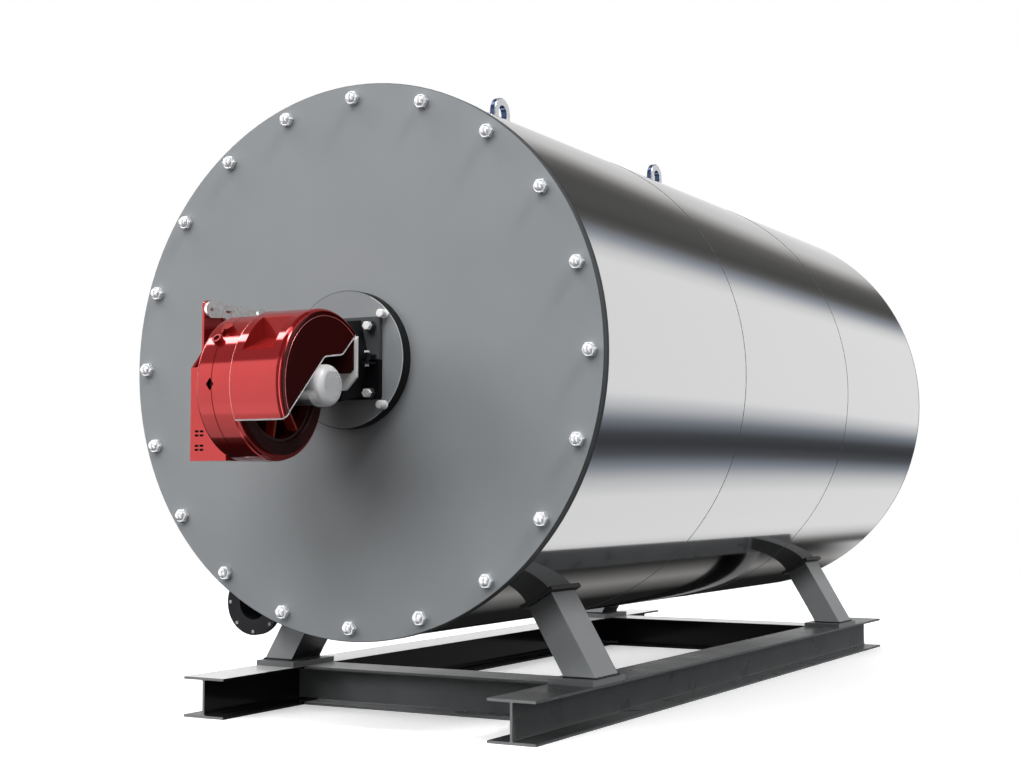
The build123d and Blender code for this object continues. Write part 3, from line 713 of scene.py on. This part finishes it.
class BOILER_OT_burner(bpy.types.Operator):
    """Gloss red paint, pale trim and bare alloy on the burner, and the rolled edges of its hood"""
    bl_idname = "boiler.burner"
    bl_label = "Burner"

    # Painted shade and a painted highlight on the red paint, and a deep red gloss on its shaded faces
    painted_shade_vents = (0.008, 0.002, 0.002)
    painted_shade_latch = (0.02, 0.004, 0.004)
    painted_shade_end_face = (0.08, 0.022, 0.022)
    painted_shade_recess = (0.22, 0.012, 0.011)
    painted_highlight_edge = (0.7, 0.22, 0.22)
    painted_shade_maroon = (0.04, 0.008, 0.008)
    painted_shade_gloss = (0.7, 0.1, 0.1)
    painted_shade_spider_ring = (0.02, 0.004, 0.003)
    # Shades of the motor: the body's grey, and painted light in the cowl's slots
    motor_grey = (0.2, 0.205, 0.21)
    painted_light_slots = (0.95, 0.95, 0.96)
    # Metallic part of the gloss paint, outside its dark faces
    red_metal = 0.65

    def housing(self, tint, sizes):
        """Gloss red of the housings and the plainer red of the fittings."""
        red = finish("burner_red", tint, 0.07, self.red_metal, grain=8.0, spread=0.04, bump=350.0,
                     depth=0.000005, specular=1.0)
        dress(red, "fan_housing", "burner_hood", "control_box", "side_plate")
        cast = finish("fitting_red", times(tint, 0.7), 0.4, 0.1, grain=14.0, spread=0.08, bump=300.0,
                      depth=0.00003, specular=0.2)
        dress(cast, "damper_boss", "damper_lever", "sight_port")
        self.recesses(red, sizes.hood_radius)
        self.hood_edges(sizes)

    def recesses(self, red, hood_radius):
        """Painted shade on the control box's vents, the latch, and the hood's end face and recess."""
        tree, (x, y, z) = spot(red)
        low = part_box("control_box")[0]
        vent_width = (low[0] + 0.018, low[0] + 0.07)
        vent_depth = (low[1] + 0.0006, low[1] + 0.0085)
        vent_height = (low[2] + 0.02, low[2] + 0.115)
        # Painted shade in the control box's vents
        shaded(red, self.painted_shade_vents, inside(tree, (x, *vent_width), (y, *vent_depth), (z, *vent_height)))
        low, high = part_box("fan_housing")
        radius = (high[1] - low[1]) / 2.0
        middle = (low[1] + radius, low[2] + radius)
        latch_width = (low[0] + 0.04, low[0] + 0.078)
        latch_depth = (low[1] - 0.01, low[1] + 0.0095)
        latch_height = (middle[1] - 0.023, middle[1] + 0.023)
        under_skin = (far_from(tree, y, z, middle), 0.0, radius - 0.0035)
        latch = inside(tree, (x, *latch_width), (z, *latch_height), (y, *latch_depth), under_skin)
        # Painted shade in the latch's recess
        shaded(red, self.painted_shade_latch, latch)
        low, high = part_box("burner_hood")
        end = worked(tree, "GREATER_THAN", x, high[0] - 0.0036)
        # Painted shade on the hood's end face
        shaded(red, self.painted_shade_end_face, end)
        recess_width = (low[0] + 0.029, high[0] - 0.043)
        recess_depth = (low[1], low[1] + 0.1295)
        recess_height = (high[2] - 0.147, high[2])
        under_skin = (far_from(tree, y, z, (low[1] + hood_radius, middle[1])), 0.0, hood_radius - 0.002)
        recess = inside(tree, (x, *recess_width), (y, *recess_depth), (z, *recess_height), under_skin)
        # Painted shade in the hood's recess
        shaded(red, self.painted_shade_recess, recess)
        # Painted shade in the gloss: the dark faces mirror with a deep red tint, and the recess is matt
        shader = tree.nodes["Principled BSDF"]
        dark = worked(tree, "MAXIMUM", end, latch)
        metal = worked(tree, "MULTIPLY_ADD", dark, 1.0 - self.red_metal, self.red_metal)
        metal = worked(tree, "MULTIPLY_ADD", recess, -self.red_metal, metal)
        tree.links.new(metal, shader.inputs["Metallic"])
        gloss = mixed(tree, worked(tree, "MAXIMUM", dark, recess), white, self.painted_shade_gloss)
        tree.links.new(gloss, shader.inputs["Specular Tint"])

    def hood_edges(self, sizes):
        """Rolled edges of the hood: one round its end face and one where it laps over the fan."""
        hood_low, hood_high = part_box("burner_hood")
        fan_low, fan_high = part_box("fan_housing")
        radius = sizes.hood_radius
        thick = sizes.hood_bead
        middle = (hood_low[1] + radius, fan_low[2] + (fan_high[1] - fan_low[1]) / 2.0)
        face_limits = (49.0, 203.0)
        lap_limits = (60.0, 207.5)
        # The edges' pale red is a painted highlight
        edge = finish("edge_red_highlight", self.painted_highlight_edge, 0.25, 0.8, grain=8.0, spread=0.04, bump=300.0,
                      depth=0.00001)
        inner = radius - sizes.hood_rim
        face = arc_bead(hood_high[0] - thick / 3.0, middle, inner, face_limits, thick * 0.75)
        lap = arc_bead(hood_low[0] + thick / 2.0, middle, radius - thick * 0.6, lap_limits, thick)
        put("hood_beads", *joined([face, lap]), edge, "burner_red", 60.0)

    def intake(self, tint):
        """Spider's matt primer with painted shade on its ring, and maroon painted shade behind it."""
        primer = finish("spider_red", tint, 0.5, grain=12.0, spread=0.08, bump=300.0, depth=0.00005)
        dress(primer, "motor_spider")
        tree, (x, y, z) = spot(primer)
        off_axis = far_from(tree, y, z, centre("motor_spider", 1, 2))
        arms_end = 0.155
        ring_begins = 0.166
        # Painted shade on the spider's ring
        shaded(primer, self.painted_shade_spider_ring, eased(tree, off_axis, arms_end, ring_begins, 0.0, 1.0))
        # Maroon painted shade on the baffle and the intake ring, which sit in shade
        maroon = finish("baffle_painted_shade", self.painted_shade_maroon, 0.4, grain=8.0, spread=0.08, bump=300.0,
                        depth=0.00002, specular=0.12)
        dress(maroon, "hood_baffle", "intake_ring")

    def motor(self, tint):
        """Satin alloy of the cowl, painted light in the slots of its end, and dark steel of the motor's body.
        """
        alloy = finish("bare_alloy", tint, 0.4, 0.15, grain=30.0, spread=0.05, bump=600.0, depth=0.00003)
        dress(alloy, "motor_cowl")
        steel = finish("motor_steel", self.motor_grey, 0.3, 0.9, grain=30.0, spread=0.05, bump=600.0,
                       depth=0.00002)
        dress(steel, "motor_body")
        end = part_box("motor_cowl")[1][0]
        slot_depth = (end - 0.0078, end - 0.0006)
        slot_reach = 0.047
        tree, (x, y, z) = spot(alloy)
        off_axis = far_from(tree, y, z, centre("motor_cowl", 1, 2))
        # Painted light in the slots of the cowl's end
        shaded(alloy, self.painted_light_slots, inside(tree, (off_axis, -1.0, slot_reach), (x, *slot_depth)))

    def execute(self, context):
        shades = context.scene.boiler_colours
        self.housing(shades.red, context.scene.boiler_sizes)
        self.intake(shades.spider)
        self.motor(shades.alloy)
        pale = finish("pale_trim", shades.pale, 0.5, grain=20.0, spread=0.02, bump=500.0, depth=0.00002)
        dress(pale, "hood_trim", "hood_rear_panel")
        bracket = finish("bracket_zinc", shades.zinc, 0.4, 0.8, grain=75.0, spread=0.22, rough_spread=0.2,
                         bump=300.0, depth=0.00002)
        dress(bracket, "linkage_bracket")
        return {"FINISHED"}


class BOILER_OT_lugs(bpy.types.Operator):
    """Polished steel on the two lifting lugs and the weld beads at their feet"""
    bl_idname = "boiler.lugs"
    bl_label = "Lifting lugs"

    # Painted reflection on the lugs' narrow edges: a colour for the dark side of the room that they mirror
    painted_reflection_edge = (0.035, 0.055, 0.11)
    # Weld beads above the lugs' lowest points, and the spacing of the points along them, in metres
    weld_level = 0.002
    weld_step = 0.003

    def execute(self, context):
        tint = context.scene.boiler_colours.lugs
        steel = finish("polished_steel", tint, 0.28, 0.85, grain=25.0, spread=0.06, bump=200.0, depth=0.00002)
        dress(steel, *like("lifting_lug_"))
        tree = steel.node_tree
        aside = worked(tree, "ABSOLUTE", sloping(steel)[0])
        # Painted reflection on the narrow edges
        shaded(steel, self.painted_reflection_edge, eased(tree, aside, 0.3, 0.6, 1.0, 0.0))
        beads = []
        for name in like("lifting_lug_"):
            low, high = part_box(name)
            foot = outline(low, high, low[2] + self.weld_level, self.weld_step)
            beads.append(bead(foot, context.scene.boiler_sizes.weld))
        put("lug_welds", *joined(beads), steel, "polished_steel")
        return {"FINISHED"}


class BOILER_OT_nuts(bpy.types.Operator):
    """Ring of bright acorn nuts on the front plate and on the rear plate"""
    bl_idname = "boiler.nuts"
    bl_label = "Acorn nuts"

    def execute(self, context):
        sizes = context.scene.boiler_sizes
        bright = finish("nut_plating", context.scene.boiler_colours.nuts, 0.42, 0.8, grain=60.0,
                        spread=0.03, bump=300.0, depth=0.00001)
        nut = acorn_nut(sizes.nut_flats, sizes.nut_height)
        for name, y, way in (("acorn_nuts_front", plate_face, -1.0), ("acorn_nuts_rear", rear_face, 1.0)):
            places = circle_places(sizes.nut_count, sizes.nut_circle, y)
            turns = [facing((0.0, way, 0.0))] * sizes.nut_count
            put(name, *repeat(nut, places, turns), bright, "polished_steel")
        return {"FINISHED"}


class BOILER_OT_burner_bolts(bpy.types.Operator):
    """Bolts with spacers on the burner's flange, round heads on the mounting disc, and the hinge's pin"""
    bl_idname = "boiler.burner_bolts"
    bl_label = "Burner bolts"

    # Flange bolts in from its sides and from its top and bottom, and below its middle, in metres
    flange_inset = (0.033, 0.026)
    flange_drop = 0.006
    # Disc bolts to either side of the axis and above and below it, and lower than that, in metres
    disc_reach = (0.159, 0.152)
    disc_drop = 0.0045

    def four(self, rings, middle, reach, y):
        """Copies of one bolt at the corners of an upright rectangle: middle plus or minus reach."""
        corners = np.array([(-1.0, 1.0), (1.0, 1.0), (1.0, -1.0), (-1.0, -1.0)])
        at = np.asarray(middle) + corners * reach
        places = np.stack([at[:, 0], np.full(4, y), at[:, 1]], -1)
        return repeat(rings, places, [facing((0.0, -1.0, 0.0))] * 4)

    def hinge_pin(self, zinc):
        """Pin of the hinge: a hexagon nut below, a round shank and a hexagon head, stacked along +Z."""
        nut, shank, head = 0.006, 0.0045, 0.0085
        nut_height = 0.008
        head_height = 0.006
        below = 0.003
        low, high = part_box("burner_hinge")
        tall = high[2] - low[2] + 0.008
        place = (centre("burner_hinge", 0)[0], low[1] * 0.75 + high[1] * 0.25, low[2] - below)
        radii = [nut, nut, shank, shank, head, head]
        heights = [0.0, nut_height, nut_height, tall - head_height, tall - head_height, tall]
        rings = revolve(radii, heights, 24, [1, 1, 0, 0, 1, 1])
        put("hinge_pin", *repeat(rings, [place], [facing((0.0, 0.0, 1.0))]), zinc, "polished_steel")

    def execute(self, context):
        sizes = context.scene.boiler_sizes
        rise = sizes.bolt_rise
        zinc = finish("zinc_plate", context.scene.boiler_colours.zinc, 0.5, grain=70.0, spread=0.14,
                      rough_spread=0.3, bump=400.0, depth=0.0001)
        low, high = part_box("burner_flange")
        middle = np.array(centre("burner_flange", 0, 2)) - [0.0, self.flange_drop]
        reach = np.subtract(high, low)[[0, 2]] / 2.0 - self.flange_inset
        bolt = hexagon_bolt(sizes.flange_bolt, rise)
        put("flange_bolts", *self.four(bolt, middle, reach, low[1]), zinc, "polished_steel")
        spacer_radii = np.array([1.2, 1.25, 1.25, 1.2]) * sizes.flange_bolt / 2.0
        spacer_heights = np.array([0.0, 0.05, 0.48, 0.52]) * rise
        spacer = revolve(spacer_radii, spacer_heights, 36, [1, 1, 1, 1])
        black = bpy.data.materials["black_paint"]
        put("flange_spacers", *self.four(spacer, middle, reach, low[1]), black, "black_paint")
        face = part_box("burner_mounting_disc")[0][1]
        bolt = cap_bolt(sizes.disc_head, rise)
        middle = (0.0, axis_z - self.disc_drop)
        put("disc_bolts", *self.four(bolt, middle, self.disc_reach, face), zinc, "polished_steel")
        self.hinge_pin(zinc)
        return {"FINISHED"}


# Studio

class BOILER_OT_studio(bpy.types.Operator):
    """Pale floor, long light panels as the surroundings, four soft lights and the camera"""
    bl_idname = "boiler.studio"
    bl_label = "Studio"

    # Degrees round the boiler's axis from its right side upwards, and brightness, for light from behind it
    side_bands = (
        (-180, 0.012), (-136, 0.012), (-126, 0.13), (-119, 0.27), (-111, 0.12), (-105, 0.03), (-99, 0.03),
        (-95, 0.2), (-91, 0.65), (-86, 0.92), (-62, 0.93),
        (-53, 0.67), (-46, 0.28), (-40, 0.09), (-34, 0.05), (-29, 0.07), (-23, 0.22), (-17, 0.6), (-10, 0.95),
        (55, 0.95), (61, 0.78), (68, 0.34), (75, 0.12), (80, 0.08), (90, 0.1), (97, 0.16), (104, 0.4),
        (112, 0.64), (140, 0.8), (160, 1.0), (166, 1.5), (180, 1.5),
    )
    # Degrees from straight ahead upwards, and brightness, for light from in front
    front_bands = (
        (-180, 0.012), (-102, 0.012), (-92, 0.1), (-87, 0.16), (-84, 0.95), (-62, 1.25), (-45, 1.45),
        (-41, 2.05), (-28, 2.05), (-25, 1.9), (36, 2.0), (39, 0.34), (66, 0.28), (71, 0.28), (73, 15.0),
        (83, 15.0), (86, 0.3), (120, 0.3), (180, 0.3),
    )
    # Sideways part of the ray, and the share of the front panels' light that is there
    across_bands = (
        (-1.0, 1.0), (-0.38, 1.0), (-0.3, 0.2), (0.46, 0.15), (0.5, 2.6), (0.6, 2.6), (0.68, 0.3),
        (0.8, 0.2), (1.0, 0.1),
    )
    # Level of brightness with the most tint, how far from it the tint ends, and the tint low down and high up
    tinted_level = 0.25
    tinted_reach = 0.45
    cool_tint = 0.28
    warm_tint = -0.06
    low_down = 70

    def sheet(self, context, name, level, material):
        """Square sheet at one level: points on an even grid from -reach to +reach both ways."""
        reach = 30.0
        cells = 8
        line = np.linspace(-reach, reach, cells + 1)
        x, y = np.meshgrid(line, line, indexing="ij")
        points = np.stack([x, y, np.full_like(x, level)], -1).reshape(-1, 3)
        here = np.arange(cells)[:, None] * (cells + 1) + np.arange(cells)[None, :]
        beside = here + cells + 1
        faces = np.stack([here, beside, beside + 1, here + 1], -1).reshape(-1, 4)
        mesh = bpy.data.meshes.new(name)
        mesh.from_pydata(points.tolist(), [], faces.tolist())
        mesh.materials.append(material)
        laid = bpy.data.objects.new(name, mesh)
        context.scene.collection.objects.link(laid)
        laid.visible_glossy = False
        return laid

    def floor(self, context):
        """Pale floor that glows a little, so that shadows stay faint, and is white far off.

        A second plain sheet just under it, which the camera doesn't see, sends light up again.
        """
        white_from = 4.0
        white_past = 9.0
        tint = context.scene.boiler_colours.floor
        look = {"grain": 0.8, "spread": 0.01, "depth": 0.00001}
        pale = finish("pale_floor", tint, 0.7, **look)
        tree = pale.node_tree
        shader = tree.nodes["Principled BSDF"]
        shader.inputs["Emission Color"].default_value = (*white, 1.0)
        shader.inputs["Emission Strength"].default_value = context.scene.boiler_studio.floor_glow
        away = tree.nodes.new("ShaderNodeVectorMath")
        away.operation = "LENGTH"
        tree.links.new(tree.nodes["Texture Coordinate"].outputs["Object"], away.inputs[0])
        far = eased(tree, away.outputs["Value"], white_from, white_past, 0.0, 1.0)
        bright = tree.nodes.new("ShaderNodeEmission")
        blend = tree.nodes.new("ShaderNodeMixShader")
        tree.links.new(far, blend.inputs["Fac"])
        tree.links.new(shader.outputs["BSDF"], blend.inputs[1])
        tree.links.new(bright.outputs["Emission"], blend.inputs[2])
        tree.links.new(blend.outputs["Shader"], tree.nodes["Material Output"].inputs["Surface"])
        self.sheet(context, "floor", 0.0, pale).visible_diffuse = False
        plain = finish("plain_floor", times(tint, 0.4), 0.7, **look)
        self.sheet(context, "floor_bounce", -0.002, plain).visible_camera = False

    def panels(self, tree, value, low, high, bands):
        """Light panels as a ramp over a value from low to high.

        Middling levels are cool low down and a little warm high up: blue is level * (1 + cool), and
        green takes about a third of that tint.
        """
        ramp = tree.nodes.new("ShaderNodeValToRGB")
        stops = ramp.color_ramp.elements
        first = bands[0][0]
        last = bands[-1][0]
        for number, (turn, level) in enumerate(bands):
            place = (turn - first) / (last - first)
            stop = stops[number] if number < 2 else stops.new(place)
            stop.position = place
            middling = max(0.0, 1.0 - abs(level - self.tinted_level) / self.tinted_reach)
            cool = middling * (self.cool_tint if abs(turn) < self.low_down else self.warm_tint)
            stop.color = (level, level * (1.0 + cool * 0.35), level * (1.0 + cool), 1.0)
        tree.links.new(ranged(tree, value, low, high, 0.0, 1.0), ramp.inputs["Fac"])
        return ramp.outputs["Color"]

    def from_behind(self, tree, across, back, up):
        """Light of the long panels behind the boiler, by the angle round its axis.

        The dark gap under the flank's panel lies aslant: towards the rear it is slant higher. Past the
        crown the panels lie higher, but not towards the rear, and far back under the boiler it is white.
        """
        slant = math.radians(6.5)
        lift = math.radians(14.0)
        gap_middle = math.radians(-30.0)
        gap_reach = (math.radians(38.0), math.radians(66.0))
        crown = (math.radians(86.0), math.radians(100.0))
        underside = (math.radians(-104.0), math.radians(-98.0))
        turn = worked(tree, "ARCTAN2", up, across)
        from_gap = worked(tree, "ABSOLUTE", worked(tree, "SUBTRACT", turn, gap_middle))
        near_gap = eased(tree, from_gap, *gap_reach, slant, 0.0)
        rearward = eased(tree, back, 0.86, 0.96, 0.0, 1.0)
        turn = worked(tree, "SUBTRACT", turn, worked(tree, "MULTIPLY", near_gap, rearward))
        past_crown = eased(tree, turn, *crown, 0.0, lift)
        sideward = worked(tree, "SUBTRACT", 1.0, rearward)
        turn = worked(tree, "SUBTRACT", turn, worked(tree, "MULTIPLY", past_crown, sideward))
        light = self.panels(tree, turn, -math.pi, math.pi, self.side_bands)
        below = eased(tree, turn, *underside, 1.0, 0.0)
        far_back = eased(tree, back, 0.948, 0.96, 0.0, 0.85)
        return mixed(tree, worked(tree, "MULTIPLY", below, far_back), light, white)

    def from_ahead(self, tree, across, back, up, matt):
        """Light of the stacked panels in front, by the angle from straight ahead upwards.

        It is multiplied by a share that follows the sideways part of the ray, and is weaker on matt
        surfaces.
        """
        matt_loss = -0.6
        rise = worked(tree, "ARCTAN2", up, worked(tree, "MULTIPLY", back, -1.0))
        light = self.panels(tree, rise, -math.pi, math.pi, self.front_bands)
        sideways = self.panels(tree, across, -1.0, 1.0, self.across_bands)
        share = worked(tree, "MULTIPLY", worked(tree, "MULTIPLY_ADD", matt, matt_loss, 1.0), sideways)
        softened = tree.nodes.new("ShaderNodeVectorMath")
        softened.operation = "SCALE"
        tree.links.new(light, softened.inputs[0])
        tree.links.new(share, softened.inputs["Scale"])
        return softened.outputs["Vector"]

    def surroundings(self, context):
        """Light panels behind the boiler and in front of it, and a white backdrop for the camera.

        The panels behind take over from those in front as the ray points back; at the right they reach
        further forward.
        """
        studio = context.scene.boiler_studio
        world = bpy.data.worlds.new("studio")
        world.use_nodes = True
        context.scene.world = world
        tree = world.node_tree
        split = tree.nodes.new("ShaderNodeSeparateXYZ")
        ray = tree.nodes.new("ShaderNodeTexCoord").outputs["Generated"]
        tree.links.new(ray, split.inputs["Vector"])
        across, back, up = [split.outputs[axis] for axis in "XYZ"]
        path = tree.nodes.new("ShaderNodeLightPath")
        matt = path.outputs["Is Diffuse Ray"]
        front = self.from_ahead(tree, across, back, up, matt)
        rear = self.from_behind(tree, across, back, up)
        rightward = eased(tree, across, -0.1, 0.15, 0.0, 0.5)
        behind = eased(tree, worked(tree, "ADD", back, rightward), 0.35, 0.8, 0.0, 1.0)
        seen = mixed(tree, behind, front, rear)
        seen = mixed(tree, path.outputs["Is Camera Ray"], seen, white)
        background = tree.nodes["Background"]
        tree.links.new(seen, background.inputs["Color"])
        dimmed = worked(tree, "MULTIPLY_ADD", matt, studio.fill - studio.room, studio.room)
        tree.links.new(dimmed, background.inputs["Strength"])

    def lamp(self, context, name, place, target, size, watts):
        """Large soft disc light that faces a point and doesn't show in reflections."""
        light = bpy.data.lights.new(name, "AREA")
        light.shape = "DISK"
        light.size = size
        light.energy = watts
        holder = bpy.data.objects.new(name, light)
        holder.location = place
        towards = Vector(target) - Vector(place)
        holder.rotation_euler = towards.to_track_quat("-Z", "Y").to_euler()
        holder.visible_glossy = False
        context.scene.collection.objects.link(holder)

    def lights(self, context):
        """A large key light high ahead, a lower one at its left, a weak one at the right and one behind."""
        studio = context.scene.boiler_studio
        burner = (0.0, plate_face - 0.2, axis_z - 0.1)
        flank = (0.6, 0.0, 0.3)
        rear = (0.0, rear_face, axis_z)
        key_place = (-0.8, plate_face - 9.6, axis_z + 10.2)
        left_place = (-9.0, plate_face - 10.4, axis_z + 4.6)
        side_place = (7.5, 3.0, 2.6)
        rear_place = (-4.5, rear_face + 9.0, axis_z + 5.0)
        self.lamp(context, "key_light", key_place, burner, 10.5, studio.key_power)
        self.lamp(context, "left_light", left_place, burner, 7.0, studio.left_power)
        self.lamp(context, "side_light", side_place, flank, 4.0, studio.side_power)
        self.lamp(context, "rear_light", rear_place, rear, 6.0, studio.rear_power)

    def camera(self, context):
        """Camera at the photograph's place, in front of the plate and to its right."""
        studio = context.scene.boiler_studio
        view = bpy.data.cameras.new("camera")
        view.lens = studio.lens
        view.sensor_fit = "HORIZONTAL"
        view.sensor_width = 36.0
        holder = bpy.data.objects.new("camera", view)
        holder.location = (studio.camera_side, plate_face - studio.camera_ahead, studio.camera_height)
        holder.rotation_euler = (math.pi / 2.0 + studio.camera_rise, 0.0, studio.camera_turn)
        context.scene.collection.objects.link(holder)
        context.scene.camera = holder

    def execute(self, context):
        self.floor(context)
        self.surroundings(context)
        self.lights(context)
        self.camera(context)
        context.scene.view_settings.view_transform = "Standard"
        return {"FINISHED"}


class BOILER_PT_panel(bpy.types.Panel):
    """Sizes, colours and makers of the boiler's pieces"""
    bl_idname = "BOILER_PT_panel"
    bl_label = "Boiler"
    bl_space_type = "VIEW_3D"
    bl_region_type = "UI"
    bl_category = "Boiler"

    def draw(self, context):
        for group in (context.scene.boiler_sizes, context.scene.boiler_colours, context.scene.boiler_studio):
            for name in group.__annotations__:
                self.layout.prop(group, name)
        for maker in makers:
            self.layout.operator(maker.bl_idname)


makers = (
    BOILER_OT_plates,
    BOILER_OT_cladding,
    BOILER_OT_skid,
    BOILER_OT_oil_flanges,
    BOILER_OT_burner,
    BOILER_OT_lugs,
    BOILER_OT_nuts,
    BOILER_OT_burner_bolts,
    BOILER_OT_studio,
)
classes = (BoilerSizes, BoilerColours, StudioSettings, *makers, BOILER_PT_panel)


def register():
    """Adds the classes and hangs the settings on the scene."""
    for made in classes:
        bpy.utils.register_class(made)
    bpy.types.Scene.boiler_sizes = bpy.props.PointerProperty(type=BoilerSizes)
    bpy.types.Scene.boiler_colours = bpy.props.PointerProperty(type=BoilerColours)
    bpy.types.Scene.boiler_studio = bpy.props.PointerProperty(type=StudioSettings)


def unregister():
    """Takes the settings and the classes away again."""
    del bpy.types.Scene.boiler_studio
    del bpy.types.Scene.boiler_colours
    del bpy.types.Scene.boiler_sizes
    for made in reversed(classes):
        bpy.utils.unregister_class(made)


def main():
    register()
    bpy.ops.boiler.plates()
    bpy.ops.boiler.cladding()
    bpy.ops.boiler.skid()
    bpy.ops.boiler.oil_flanges()
    bpy.ops.boiler.burner()
    bpy.ops.boiler.lugs()
    bpy.ops.boiler.nuts()
    bpy.ops.boiler.burner_bolts()
    bpy.ops.boiler.studio()


if __name__ == "__main__":
    main()
